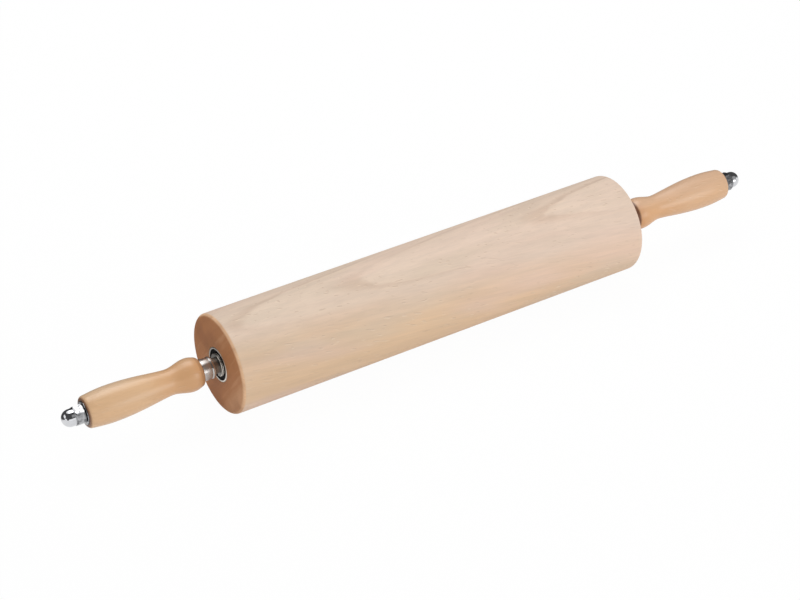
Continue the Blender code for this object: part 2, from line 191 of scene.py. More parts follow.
# The washer and the nut
WASHER_EDGE = 0.4 * MM
WASHER_BORE_EDGE = 0.15 * MM
NUT_FLAT_RADIUS = 7.145 * MM
NUT_HEX_HEIGHT = 8.1 * MM
NUT_SHOULDER = 1.2 * MM
NUT_FOOT = 0.5 * MM
NUT_RIM_STEP = 0.1 * MM
NUT_DOME_STEP = 0.25 * MM
NUT_TOP_WALL = 4.7 * MM
NUT_ROUNDING = 0.3 * MM
NUT_TURN = math.radians(15.0)

END_PLACES = {
    "left": Matrix.Translation((-FACE, 0, ROLLER_RADIUS)) @ Matrix.Rotation(-math.pi / 2, 4, "Y"),
    "right": Matrix.Translation((FACE, 0, ROLLER_RADIUS)) @ Matrix.Rotation(math.pi / 2, 4, "Y"),
}
MIDDLE_PLACE = Matrix.Translation((0, 0, ROLLER_RADIUS)) @ Matrix.Rotation(math.pi / 2, 4, "Y")


def reach(node):
    """Where a piece of an end starts and stops beyond the roller's face, and its radius."""
    low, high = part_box("right_" + node)
    return low.x - FACE, high.x - FACE, (high.y - low.y) / 2


# Places and radii that follow from the frame
RACE_START, RACE_END, BEARING_RADIUS = reach("bearing_outer_race")
INNER_LAND = reach("bearing_inner_race")[2]
OUTER_LAND = INNER_LAND + RACE_GAP
PITCH_RADIUS = INNER_LAND + RACE_GAP / 2
SEAL_SEAT = reach("bearing_front_seal")[2] + PRESS_GAP
SEAL_SEAT_DEPTH = RACE_END - reach("bearing_front_seal")[0] + PRESS_GAP
BEARING_MIDDLE = (RACE_START + RACE_END) / 2
ROD_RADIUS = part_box("axle_rod")[1].y
RACE_BORE = ROD_RADIUS + PRESS_GAP
ROD_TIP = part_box("axle_rod")[1].x - FACE
ROD_NECK = reach("ferrule")[0] - SEAT_GAP
NUT_HEX_TOP = reach("acorn_nut")[0] + NUT_HEX_HEIGHT


# Outlines, as (radius, height) points


def arc(centre, radius, first, last, steps=FILLET_STEPS):
    """Points on an arc between two angles, from 0 for outwards to a quarter turn for upwards."""
    points = []
    for i in range(steps + 1):
        angle = first + (last - first) * i / steps
        points.append((centre[0] + radius * math.cos(angle), centre[1] + radius * math.sin(angle)))
    return points


def rounded(corners):
    """The closed outline through (radius, height, fillet) corners, with an arc at each fillet."""
    points = []
    for i, (radius, height, fillet) in enumerate(corners):
        corner = Vector((radius, height))
        if not fillet:
            points.append(tuple(corner))
            continue
        back = (Vector(corners[i - 1][:2]) - corner).normalized()
        ahead = (Vector(corners[(i + 1) % len(corners)][:2]) - corner).normalized()
        half = back.angle(ahead) / 2
        centre = corner + (back + ahead).normalized() * fillet / math.sin(half)
        first = corner + back * fillet / math.tan(half) - centre
        last = corner + ahead * fillet / math.tan(half) - centre
        turn = first.angle_signed(last)
        for step in range(FILLET_STEPS + 1):
            angle = turn * step / FILLET_STEPS
            spoke = Matrix.Rotation(-angle, 2) @ first
            points.append(tuple(centre + spoke))
    return points


def sharp(points):
    return [(radius, height, 0.0) for radius, height in points]


def mirrored(upper_half):
    """The upper half of an outline, followed by its points mirrored in the plane z = 0."""
    return upper_half + [(corner[0], -corner[1], *corner[2:]) for corner in reversed(upper_half)]


def split(outline, longest):
    """The open outline with its long stretches cut into pieces no longer than this."""
    points = [outline[0]]
    for start, end in zip(outline, outline[1:]):
        count = max(1, math.ceil(math.dist(start, end) / longest))
        for i in range(1, count + 1):
            share = i / count
            radius = start[0] + (end[0] - start[0]) * share
            points.append((radius, start[1] + (end[1] - start[1]) * share))
    return points


# Meshes


def lathe(outline, sides=ROUND_SIDES, closed=True, opening=0.0):
    """Spin the outline round the Z axis. An opening, as an angle, is left on the -X side."""
    shape = bmesh.new()
    corners = [shape.verts.new((radius, 0.0, height)) for radius, height in outline]
    edges = [shape.edges.new(pair) for pair in zip(corners, corners[1:])]
    if closed:
        edges.append(shape.edges.new((corners[-1], corners[0])))
    start = Matrix.Rotation(math.pi + opening / 2, 4, "Z")
    bmesh.ops.transform(shape, matrix=start, verts=corners)
    bmesh.ops.spin(
        shape,
        geom=corners + edges,
        axis=(0, 0, 1),
        angle=2 * math.pi - opening,
        steps=sides,
        use_merge=not opening,
    )
    bmesh.ops.remove_doubles(shape, verts=shape.verts, dist=WELD)
    if opening:
        bmesh.ops.holes_fill(shape, edges=[edge for edge in shape.edges if edge.is_boundary])
    bmesh.ops.recalc_face_normals(shape, faces=shape.faces)
    return shape


def dress(node, shape, place):
    """Show this shape in place of the CAD node, on the node's body and in its material."""
    shape.transform(place)
    mesh = bpy.data.meshes.new("fine_" + node)
    shape.to_mesh(mesh)
    shape.free()
    mesh.shade_smooth()
    mesh.set_sharp_from_angle(angle=SHARP_EDGE)
    piece = bpy.data.objects.new("fine_" + node, mesh)
    bpy.context.scene.collection.objects.link(piece)
    weighting = piece.modifiers.new("weighted normals", "WEIGHTED_NORMAL")
    weighting.keep_sharp = True
    mesh.materials.append(materials[slots[node]])
    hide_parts(node)
    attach(piece, frame["nodes"][node]["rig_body"])


# Materials

# Each noise has its features per metre along X, Y and Z, its detail and its roughness
NOISES = {
    "ring_drift": ((12.0, 30.0, 30.0), 4.0, 0.6),
    "zone": ((5.0, 24.0, 24.0), 2.0, 0.5),
    "other_zone": ((7.0, 40.0, 40.0), 3.0, 0.5),
    "streak": ((14.0, 170.0, 170.0), 3.0, 0.5),
    "fibre": ((30.0, 700.0, 700.0), 4.0, 0.6),
    "fleck": ((120.0, 600.0, 600.0), 0.0, 0.5),
    "end_streak": ((1.0, 14.0, 110.0), 3.0, 0.6),
    "pore": ((60.0, 1100.0, 1100.0), 3.0, 0.7),
    "blotch": ((1.0, 45.0, 45.0), 2.0, 0.5),
    "lathe_mark": ((9000.0, 9000.0, 0.0), 3.0, 0.7),
    "smudge": ((170.0, 170.0, 170.0), 4.0, 0.6),
    "speck": ((1400.0, 1400.0, 1400.0), 2.0, 0.5),
    "patch": ((420.0, 420.0, 420.0), 3.0, 0.6),
    "scratch": ((1.0, 1.0, 1.0), 1.0, 0.5),
    "rubber_grain": ((5000.0, 5000.0, 5000.0), 2.0, 0.5),
    "dust": ((260.0, 260.0, 260.0), 4.0, 0.7),
}


class Nodes:
    """A node tree that is built up by short calls."""

    def __init__(self, tree):
        self.tree = tree

    def add(self, kind, inputs=(), output=0, **settings):
        """Add a node, feed its inputs from (socket, value) pairs, and return an output."""
        node = self.tree.nodes.new("ShaderNode" + kind)
        for name, value in settings.items():
            setattr(node, name, value)
        for socket, value in inputs:
            self.feed(node.inputs[socket], value)
        return node.outputs[output]

    def feed(self, socket, value):
        if isinstance(value, bpy.types.NodeSocket):
            self.tree.links.new(value, socket)
        else:
            socket.default_value = value

    def math(self, operation, first, second=0.0):
        return self.add("Math", [(0, first), (1, second)], operation=operation)

    def vector(self, operation, first, second=(0, 0, 0)):
        return self.add("VectorMath", [(0, first), (1, second)], operation=operation)

    def product(self, first, *others):
        for other in others:
            first = self.math("MULTIPLY", first, other)
        return first

    def dot(self, first, second):
        return self.vector("DOT_PRODUCT", first, second).node.outputs["Value"]

    def from_x_axis(self, place):
        """How far a place is from the X axis."""
        aside = self.vector("MULTIPLY", place, (0, 1, 1))
        return self.vector("LENGTH", aside).node.outputs["Value"]

    def turned(self, place, axis, angle):
        inputs = [("Vector", place), ("Axis", axis), ("Angle", angle)]
        return self.add("VectorRotate", inputs, rotation_type="AXIS_ANGLE")

    def noise(self, name, place, offset=None, output=0):
        """One of the noises above, at coordinates that are scaled and then set off."""
        scale, detail, roughness = NOISES[name]
        place = self.vector("MULTIPLY", place, scale)
        if offset:
            place = self.vector("ADD", place, offset)
        inputs = [("Vector", place), ("Scale", 1.0), ("Detail", detail), ("Roughness", roughness)]
        return self.add("TexNoise", inputs, output)

    def span(self, value, low, high, to_low=0.0, to_high=1.0):
        """Map a value's range smoothly to another."""
        inputs = [(0, value), (1, low), (2, high), (3, to_low), (4, to_high)]
        return self.add("MapRange", inputs, interpolation_type="SMOOTHSTEP")

    def ramp(self, value, stops):
        """Map a value to grey levels through (place, level) stops."""
        node = self.tree.nodes.new("ShaderNodeValToRGB")
        self.feed(node.inputs[0], value)
        points = node.color_ramp.elements
        while len(points) < len(stops):
            points.new(1.0)
        for point, (place, level) in zip(points, stops):
            point.position = place
            point.color = (level, level, level, 1.0)
        return node.outputs[0]

    def mix(self, amount, first, second, blend="MIX"):
        inputs = [(0, amount), (6, first), (7, second)]
        return self.add("Mix", inputs, output=2, data_type="RGBA", blend_type=blend)

    def shaded(self, colour, level):
        """The colour times a grey level."""
        grey = self.add("CombineColor", [(0, level), (1, level), (2, level)])
        return self.mix(1.0, colour, grey, "MULTIPLY")

    def relief(self, strength, height, marks):
        return self.add("Bump", [("Strength", strength), ("Distance", height), ("Height", marks)])


def colour(red, green, blue):
    """A colour from its 8-bit display values."""
    def linear(value):
        share = value / 255
        return share / 12.92 if share <= 0.04045 else ((share + 0.055) / 1.055) ** 2.4

    return (linear(red), linear(green), linear(blue), 1.0)


def new_material(name):
    """A material with its nodes, its shader's inputs and its coordinates from the pin's axis."""
    material = bpy.data.materials.new(name)
    material.use_nodes = True
    nodes = Nodes(material.node_tree)
    shader = material.node_tree.nodes["Principled BSDF"]
    place = nodes.add("TexCoord", output="Object")
    from_axis = nodes.vector("SUBTRACT", place, (0, 0, ROLLER_RADIUS))
    return material, nodes, shader.inputs, from_axis


# Wood

# The axes that the grain and the end grain are turned about
ACROSS = (0, -1, 0)
ALONG = (1, 0, 0)

# Directions from the axis: to the wide rings' crests, and to where the end grain grows paler
CREST_SIDE = (0.0, 0.65, 0.76)
PALE_END_SIDE = (0.0, -0.80, -0.60)

# Where the second noise of zones is read, so that it differs from the first
OTHER_ZONE_PLACE = (3.1, 1.7, 5.3)

# How dark a fine ring is from its inner edge to its outer edge
RING_TONES = [(0.0, 0.0), (0.35, 0.12), (0.80, 0.55), (0.97, 1.0), (1.0, 0.0)]

# How a wide ring's dark line and pale band rise and fall, as distances beyond the ring's edge
LATE_RISE = (-1.0 * MM, -0.1 * MM)
LATE_FALL = (0.25 * MM, -0.1 * MM)
PALE_RISE = (0.0, 0.4 * MM)
PALE_FALL = (2.5 * MM, 0.4 * MM)

# Levels of a noise, from where its effect starts to where it is full. A second pair is that effect.
MIDDLE_LEVELS = (0.3, 0.7)
WANDER_LEVELS = (0.2, 0.8)
WARM_LEVELS = (0.45, 0.68)
GREY_LEVELS = (0.48, 0.68)
RING_LEVELS = (0.38, 0.58, 0.25, 1.0)
FIBRE_LEVELS = (0.25, 0.75)
FLECK_LEVELS = (0.70, 0.80)
FLECK_ROOM_LEVELS = (0.42, 0.60, 0.35, 1.0)
END_LATE_LEVELS = (0.50, 0.72, 0.0, 0.28)
END_PALE_LEVELS = (0.45, 0.30, 0.0, 0.20)
BLOTCH_LEVELS = (0.38, 0.66)

# What is left of the rings away from their crest
CREST_FOOT = 0.12

# How the fibres change the tone and the roughness
FIBRE_TONES = (0.97, 1.03)
FIBRE_ROUGHNESS = (-0.05, 0.07)

# The step aside from a dark fleck to its pale edge, and a fleck's depth against a fibre's
FLECK_STEP = (0, 0.3575 * MM, 0.418 * MM)
FLECK_HOLLOW = 0.6

# Where the tones of the near half give way to those of the far half
FAR_REACH = (-50.0 * MM, 50.0 * MM)

# How much of the dark rim, which is painted shade, the near handle's mouth has, against the far
# one's
NEAR_RIM_SHADE = 0.3

# End grain: how far a surface faces along the pin as its edge's tone gives way to its flat's,
# and how much its marks change it. The rounded edge's lighter tone is partly side grain showing
# and partly painted light, where the edge turns towards the light.
FLAT_FACING = (0.70, 0.998)
END_RING_DEPTH = 0.12
END_BLOTCH_DEPTH = 0.45
END_PORE_DEPTH = 0.12
END_ROUGHNESS = 0.12

# Where the end grain starts and ends growing paler, how far that wanders and how much it changes
PALE_END_REACH = (20.0 * MM, 34.0 * MM)
PALE_END_WANDER = 3.0 * MM
PALE_END_DEPTH = 0.38

# Metal and rubber

# A scratch's features per metre along and across it, and its turn
SCRATCH_SCALE = (90.0, 3200.0, 3200.0)
SCRATCH_TURN = (0.6, 0.4, 0.9)

# Levels of a noise, with its effects as a second pair
SCRATCH_LEVELS = (0.70, 0.76)
SMUDGE_TONES = (0.3, 0.75, 1.0, 0.90)
SMUDGE_LEVELS = (0.35, 0.75)
SPECK_TONES = (0.3, 0.7, 1.0, 0.97)
PATCH_DEPTHS = (0.35, 0.65, 0.35, 0.75)
DUST_DEPTHS = (0.45, 0.8, 0.0, 0.6)
DUST_ROUGHNESS = (0.35, 0.75, 0.42, 0.68)

# How strongly rubber mirrors
RUBBER_SHINE = 0.03

# What dull flats, scratches and lathe marks add to the roughness
DULL_WEAR = 0.14
SCRATCH_WEAR = 0.15
BRUSHING_WEAR = 0.2

# Half the width of the soft edges of the dull flats and of the painted shade near the axis, and how
# dark that painted shade is
DULL_EDGE = 0.3 * MM
PAINTED_SHADE_EDGE = 0.2 * MM
PAINTED_SHADE_DEPTH = 0.75

# How far marks stand out of wood, the strength and height of those on metal and rubber,
# and a scratch's depth against them
WOOD_RELIEF = 0.02 * MM
METAL_RELIEF = (0.15, 0.004 * MM)
RUBBER_RELIEF = (0.4, 0.02 * MM)
SCRATCH_HOLLOW = 0.4


def ring_marks(nodes, distance, look):
    """A dark line just before each wide ring's edge and a pale band just beyond it."""
    late, pale_side = 0.0, 0.0
    for edge in look["ring_edges"]:
        beyond = nodes.math("SUBTRACT", distance, edge)
        line = nodes.product(nodes.span(beyond, *LATE_RISE), nodes.span(beyond, *LATE_FALL))
        band = nodes.product(nodes.span(beyond, *PALE_RISE), nodes.span(beyond, *PALE_FALL))
        late = nodes.math("MAXIMUM", late, line)
        pale_side = nodes.math("MAXIMUM", pale_side, band)
    return late, pale_side


def wood_rings(nodes, place, look):
    """Places from a slanting pith, and the marks of the wide and the fine rings round it."""
    drift = nodes.noise("ring_drift", place, output=1)
    drift = nodes.vector("SUBTRACT", drift, (0.5, 0.5, 0.5))
    drift = nodes.vector("MULTIPLY", drift, (0, look["drift"], look["drift"]))
    from_pith = nodes.turned(place, ACROSS, look["pith_slope"])
    from_pith = nodes.vector("SUBTRACT", nodes.vector("ADD", from_pith, drift), look["pith"])
    distance = nodes.from_x_axis(from_pith)
    late, pale_side = ring_marks(nodes, distance, look)
    fine_rings = nodes.math("DIVIDE", distance, look["fine_ring_width"])
    fine_late = nodes.ramp(nodes.math("FRACT", fine_rings), RING_TONES)
    return from_pith, late, pale_side, fine_late


def wood_flecks(nodes, place, zone, look):
    """Small dark flecks, each with a pale one beside it, that are sparser in part of the zones."""
    place = nodes.turned(place, ACROSS, look["fleck_slope"])
    room = nodes.span(zone, *FLECK_ROOM_LEVELS)
    flecks = []
    for step in ((0, 0, 0), FLECK_STEP):
        noise = nodes.noise("fleck", nodes.vector("ADD", place, step))
        flecks.append(nodes.product(nodes.span(noise, *FLECK_LEVELS), room))
    return flecks


def end_grain(nodes, place, fine_late, look):
    """How much of a surface is end grain, as it faces along the pin, and the end grain's tone."""
    facing = nodes.add("SeparateXYZ", [(0, nodes.add("TexCoord", output="Normal"))])
    near_end = nodes.span(nodes.math("MULTIPLY", facing, -1.0), *look["end_facing"])
    end = nodes.math("MAXIMUM", near_end, nodes.span(facing, *look["far_end_facing"]))
    flat = nodes.span(nodes.math("ABSOLUTE", facing), *FLAT_FACING)
    shade = nodes.mix(flat, look["end_edge"], look["end"])

    across_end = nodes.turned(place, ALONG, look["end_slope"])
    streak = nodes.noise("end_streak", across_end)
    shade = nodes.mix(nodes.span(streak, *END_LATE_LEVELS), shade, look["end_late"])
    shade = nodes.mix(nodes.span(streak, *END_PALE_LEVELS), shade, look["end_edge"])
    pale_side = nodes.dot(place, PALE_END_SIDE)
    wander = nodes.span(streak, *MIDDLE_LEVELS, -PALE_END_WANDER, PALE_END_WANDER)
    pale_side = nodes.math("ADD", pale_side, wander)
    pale_side = nodes.span(pale_side, *PALE_END_REACH, 0.0, PALE_END_DEPTH)
    shade = nodes.mix(pale_side, shade, look["end_edge"])

    blotch = nodes.span(nodes.noise("blotch", place), *BLOTCH_LEVELS)
    pore = nodes.span(nodes.noise("pore", place), *MIDDLE_LEVELS)
    depths = (END_RING_DEPTH, END_BLOTCH_DEPTH, END_PORE_DEPTH)
    for marks, depth in zip((fine_late, blotch, pore), depths):
        shade = nodes.mix(nodes.product(marks, depth), shade, look["end_late"])
    return end, shade


def wood(name, look):
    """Turned wood: zones of tone, painted light on its upper and lower sides, its rounded end edges
    and a handle's inner rim, rings, streaks, fibres, flecks and end grain.
    """
    material, nodes, shader, place = new_material(name)
    grain = nodes.turned(place, ACROSS, look["grain_slope"])
    from_pith, late, pale_side, fine_late = wood_rings(nodes, place, look)
    zone = nodes.noise("zone", grain)
    other_zone = nodes.noise("other_zone", grain, OTHER_ZONE_PLACE)
    streak = nodes.noise("streak", grain)
    fibre = nodes.noise("fibre", grain)
    dark_fleck, pale_fleck = wood_flecks(nodes, place, other_zone, look)

    # Tones from the near to the far half and from the upper to the lower side. These are partly the
    # wood's own and partly painted light: a painted sheen makes the top paler and greyer, and
    # painted bounced light makes the lower side warmer.
    along = nodes.add("SeparateXYZ", [(0, place)])
    far_share = nodes.span(along, *FAR_REACH)
    wander = nodes.span(zone, *WANDER_LEVELS, -look["zone_wander"], look["zone_wander"])
    lower = nodes.math("ADD", nodes.dot(from_pith, look["lower_side"]), wander)
    low_share = nodes.span(lower, *look["lower_edge"])
    upper_tone_and_sheen = nodes.mix(far_share, look["upper"], look["far_upper"])
    lower_tone_and_bounce = nodes.mix(far_share, look["lower"], look["far_lower"])
    shade = nodes.mix(low_share, upper_tone_and_sheen, lower_tone_and_bounce)
    warm = nodes.span(zone, *WARM_LEVELS, 0.0, look["warm_depth"])
    grey = nodes.span(other_zone, *GREY_LEVELS, 0.0, look["grey_depth"])
    shade = nodes.mix(warm, shade, look["warm"])
    shade = nodes.mix(grey, shade, look["grey"])

    # Rings, which are clearest on their crests, then streaks and fibres
    crest = nodes.span(nodes.dot(place, CREST_SIDE), *look["crest"], CREST_FOOT, 1.0)
    crest = nodes.product(crest, nodes.span(other_zone, *RING_LEVELS))
    shade = nodes.mix(nodes.product(late, crest, look["ring_depth"]), shade, look["late"])
    shade = nodes.mix(nodes.product(pale_side, crest, look["pale_depth"]), shade, look["pale"])
    shade = nodes.mix(nodes.product(fine_late, look["fine_depth"]), shade, look["late"])
    streak_depth = look["streak_depth"]
    depth = nodes.span(streak, *MIDDLE_LEVELS, 1.0 - streak_depth, 1.0 + streak_depth)
    depth = nodes.product(depth, nodes.span(fibre, *FIBRE_LEVELS, *FIBRE_TONES))
    shade = nodes.shaded(shade, depth)

    # A handle's mouth, which is warmer on its lower side, partly with painted bounced light, and
    # dark at its rim with painted shade where the roller's end shades it
    if "mouth" in look:
        outwards = nodes.math("ABSOLUTE", along)
        mouth = nodes.span(outwards, *look["mouth_reach"], 0.0, look["mouth_depth"])
        shade = nodes.mix(nodes.product(mouth, low_share), shade, look["mouth"])
        # Painted shade: a dark rim at each handle's inner end, beside the roller's end, fuller on
        # the far handle
        rim = nodes.span(outwards, *look["shaded_rim_reach"], 0.0, look["mouth_depth"])
        rim = nodes.product(rim, nodes.math("MAXIMUM", far_share, NEAR_RIM_SHADE))
        shade = nodes.mix(rim, shade, look["rim"])

    shade = nodes.mix(nodes.product(dark_fleck, look["fleck_depth"]), shade, look["late"])
    shade = nodes.mix(nodes.product(pale_fleck, look["fleck_depth"]), shade, look["pale"])
    end, end_shade = end_grain(nodes, place, fine_late, look)
    nodes.feed(shader["Base Color"], nodes.mix(end, shade, end_shade))

    roughness = [look["rough"] + change for change in FIBRE_ROUGHNESS]
    rough = nodes.span(fibre, *FIBRE_LEVELS, *roughness)
    nodes.feed(shader["Roughness"], nodes.math("ADD", rough, nodes.product(end, END_ROUGHNESS)))
    shader["Specular IOR Level"].default_value = look["shine"]
    shader["Coat Weight"].default_value = look["coat"]
    shader["Coat Roughness"].default_value = look["coat_rough"]
    height = nodes.math("SUBTRACT", fibre, nodes.product(dark_fleck, FLECK_HOLLOW))
    nodes.feed(shader["Normal"], nodes.relief(look["relief"], WOOD_RELIEF, height))
    return material


def metal(name, base, rough, brushing, smudging, dull_end=0.0, painted_shade_radius=0.0):
    """Turned metal: fine marks round the axis, smudges and hair scratches.

    It is dull and patchy nearer to the pin's middle than dull_end, and darkened with painted shade
    within the given radius of the axis, for the shade that falls between the ferrule and the
    bearing.
    """
    material, nodes, shader, place = new_material(name)
    along = nodes.add("SeparateXYZ", [(0, place)])
    around = nodes.from_x_axis(place)
    lathe_place = nodes.add("CombineXYZ", [(0, along), (1, around)])
    marks = nodes.noise("lathe_mark", lathe_place)
    smudge = nodes.noise("smudge", place)
    speck = nodes.noise("speck", place)
    patch = nodes.noise("patch", place)
    scratch_inputs = [("Vector", place), ("Rotation", SCRATCH_TURN), ("Scale", SCRATCH_SCALE)]
    scratch = nodes.noise("scratch", nodes.add("Mapping", scratch_inputs))
    scratch = nodes.span(scratch, *SCRATCH_LEVELS)

    tone = nodes.span(smudge, *SMUDGE_TONES)
    tone = nodes.product(tone, nodes.span(speck, *SPECK_TONES))
    dull = nodes.span(nodes.math("ABSOLUTE", along), dull_end + DULL_EDGE, dull_end - DULL_EDGE)
    dulled = nodes.product(dull, nodes.span(patch, *PATCH_DEPTHS))
    # Painted shade: darker within a radius of the axis, where the ferrule, the ring and the bearing
    # shade each other
    painted_shade_edge = (painted_shade_radius + PAINTED_SHADE_EDGE, painted_shade_radius - PAINTED_SHADE_EDGE)
    painted_shade = nodes.span(around, *painted_shade_edge, 0.0, PAINTED_SHADE_DEPTH)
    tone = nodes.product(tone, nodes.math("SUBTRACT", 1.0, nodes.math("MAXIMUM", dulled, painted_shade)))
    nodes.feed(shader["Base Color"], nodes.shaded(base, tone))
    shader["Metallic"].default_value = 1.0

    worn = nodes.span(smudge, *SMUDGE_LEVELS, rough, rough + smudging)
    wears = ((dull, DULL_WEAR), (scratch, SCRATCH_WEAR), (marks, brushing * BRUSHING_WEAR))
    for mark, wear in wears:
        worn = nodes.math("ADD", worn, nodes.product(mark, wear))
    nodes.feed(shader["Roughness"], worn)
    brushed = nodes.product(marks, brushing)
    height = nodes.math("ADD", brushed, nodes.product(scratch, -SCRATCH_HOLLOW))
    nodes.feed(shader["Normal"], nodes.relief(*METAL_RELIEF, height))
    return material


def rubber(name, base, dusty):
    """Moulded rubber: a fine grain, and dust that catches in patches."""
    material, nodes, shader, place = new_material(name)
    grain = nodes.noise("rubber_grain", place)
    dust = nodes.noise("dust", place)
    nodes.feed(shader["Base Color"], nodes.mix(nodes.span(dust, *DUST_DEPTHS), base, dusty))
    nodes.feed(shader["Roughness"], nodes.span(dust, *DUST_ROUGHNESS))
    shader["Specular IOR Level"].default_value = RUBBER_SHINE
    nodes.feed(shader["Normal"], nodes.relief(*RUBBER_RELIEF, grain))
    return material


# The looks of the two woods

ROLLER_LOOK = {
    # The upper and lower tones hold painted light as well as the wood's tone: a greyer top for
    # sheen, a warmer lower side for bounced light
    "upper": colour(230, 207, 187),
    "far_upper": colour(231, 207, 188),
    "lower": colour(228, 196, 162),
    "far_lower": colour(228, 195, 161),
    "warm": colour(233, 204, 186),
    "grey": colour(218, 198, 176),
    "late": colour(192, 158, 132),
    "pale": colour(242, 222, 200),
    "end_edge": colour(252, 208, 166),
    "end": colour(202, 139, 92),
    "end_late": colour(170, 112, 76),
    "end_slope": 0.9,
    # The near end's rounded edge takes the end grain's edge tone over more of its turn than the far
    # end's: painted light, for the light that falls differently on the two ends
    "end_facing": (0.08, 0.50),
    "far_end_facing": (0.55, 0.90),
    "grain_slope": 0.15,
    "pith_slope": 0.035,
    "pith": (0.0, 14.0 * MM, -60.0 * MM),
    "drift": 2.6 * MM,
    "ring_edges": (90.4 * MM, 97.0 * MM, 100.5 * MM, 106.5 * MM),
    "crest": (-4.0 * MM, 24.0 * MM),
    "ring_depth": 0.30,
    "pale_depth": 0.20,
    "fine_ring_width": 2.6 * MM,
    "fine_depth": 0.05,
    "fleck_slope": 0.3,
    "zone_wander": 9.0 * MM,
    "lower_side": (-0.06, -0.65, -0.76),
    "lower_edge": (-44.0 * MM, -12.0 * MM),
    "warm_depth": 0.7,
    "grey_depth": 0.45,
    "streak_depth": 0.035,
    "fleck_depth": 0.5,
    "rough": 0.55,
    "shine": 0.35,
    "coat": 0.0,
    "coat_rough": 0.3,
    "relief": 0.5,
}
HANDLE_LOOK = {
    **ROLLER_LOOK,
    # The handle's paler, greyer upper tone is partly a painted highlight, and its warmer lower tone
    # partly painted bounced light
    "upper": colour(230, 209, 184),
    "far_upper": colour(224, 184, 150),
    "lower": colour(229, 187, 143),
    "far_lower": colour(219, 172, 128),
    "warm": colour(224, 182, 142),
    "grey": colour(217, 178, 140),
    "late": colour(196, 146, 102),
    "pale": colour(238, 208, 176),
    "mouth": colour(220, 168, 118),
    "mouth_reach": (262.0 * MM, 222.0 * MM),
    "mouth_depth": 0.9,
    # The rim's colour is painted shade cast by the roller's end on the handle's inner end
    "rim": colour(96, 48, 24),
    "shaded_rim_reach": (211.2 * MM, 209.2 * MM),
    "warm_depth": 0.5,
    "grey_depth": 0.3,
    "ring_depth": 0.25,
    "pale_depth": 0.1,
    "fleck_depth": 0.35,
    "end_edge": colour(188, 142, 104),
    "end": colour(154, 106, 72),
    "end_late": colour(130, 86, 56),
    "end_facing": (0.50, 0.92),
    "far_end_facing": (0.50, 0.92),
    "lower_side": (0.0, -0.65, -0.76),
    "grain_slope": 0.05,
    "pith_slope": 0.04,
    "pith": (0.0, 10.0 * MM, -30.0 * MM),
    "drift": 1.6 * MM,
    "ring_edges": (34.0 * MM, 38.0 * MM, 42.0 * MM),
    "crest": (-6.0 * MM, 9.0 * MM),
    "fine_ring_width": 1.8 * MM,
    "lower_edge": (-29.0 * MM, -15.0 * MM),
    "zone_wander": 3.0 * MM,
    "rough": 0.42,
    "shine": 0.5,
    "coat": 0.35,
    "coat_rough": 0.22,
    "relief": 0.3,
}

materials = {
    "roller_wood": wood("fine_roller_wood", ROLLER_LOOK),
    "handle_wood": wood("fine_handle_wood", HANDLE_LOOK),
    "rod_steel": metal(
        "fine_rod_steel", colour(175, 168, 160), rough=0.26, brushing=0.6, smudging=0.12
    ),
    "bearing_steel": metal(
        "fine_bearing_steel",
        colour(232, 224, 214),
        rough=0.20,
        brushing=0.6,
        smudging=0.10,
        # Painted shade within 9 mm of the axis, on the faces between the ferrule and the bearing
        painted_shade_radius=9.0 * MM,
    ),
    "ferrule_nickel": metal(
        "fine_ferrule_nickel", colour(212, 211, 208), rough=0.24, brushing=0.3, smudging=0.06
    ),
    "nut_chrome": metal(
        "fine_nut_chrome",
        colour(232, 233, 236),
        rough=0.05,
        brushing=0.1,
        smudging=0.05,
        dull_end=FACE + NUT_HEX_TOP,
    ),
    "seal_rubber": rubber("fine_seal_rubber", colour(10, 7, 8), colour(26, 20, 20)),
}
slots = {part["node"]: part["material_slot"] for part in frame["record"]["subparts"]}


# Pieces


def make_roller():
    """The barrel with rounded edges, bored through, and a seat for a bearing in each end."""
    seat_floor = FACE + RACE_START - SEAT_GAP
    seat_radius = BEARING_RADIUS + SEAT_GAP
    upper_half = [
        (INNER_LAND + BORE_CLEARANCE, seat_floor, 0.0),
        (seat_radius, seat_floor, 0.0),
        (seat_radius, FACE, ROLLER_SEAT_EDGE),
        (ROLLER_RADIUS, FACE, ROLLER_EDGE),
    ]
    dress("roller", lathe(rounded(mirrored(upper_half)), ROLLER_SIDES), MIDDLE_PLACE)


def make_rod():
    """The rod from nut to nut, with a groove for each retaining ring and a shoulder at each end."""
    ring_start, ring_end, ring_radius = reach("retaining_ring")
    groove = ring_radius - RING_WIDTH - PRESS_GAP
    tip, neck = FACE + ROD_TIP, FACE + ROD_NECK
    upper_half = [
        (0.0, tip),
        (ROD_END_RADIUS - ROD_END_CHAMFER, tip),
        (ROD_END_RADIUS, tip - ROD_END_CHAMFER),
        (ROD_END_RADIUS, neck),
        (ROD_RADIUS - RING_EDGE, neck),
        (ROD_RADIUS, neck - RING_EDGE),
        (ROD_RADIUS, FACE + ring_end + PRESS_GAP / 2),
        (groove, FACE + ring_end + PRESS_GAP / 2),
        (groove, FACE + ring_start - PRESS_GAP / 2),
        (ROD_RADIUS, FACE + ring_start - PRESS_GAP / 2),
    ]
    dress("axle_rod", lathe(mirrored(upper_half), closed=False), MIDDLE_PLACE)


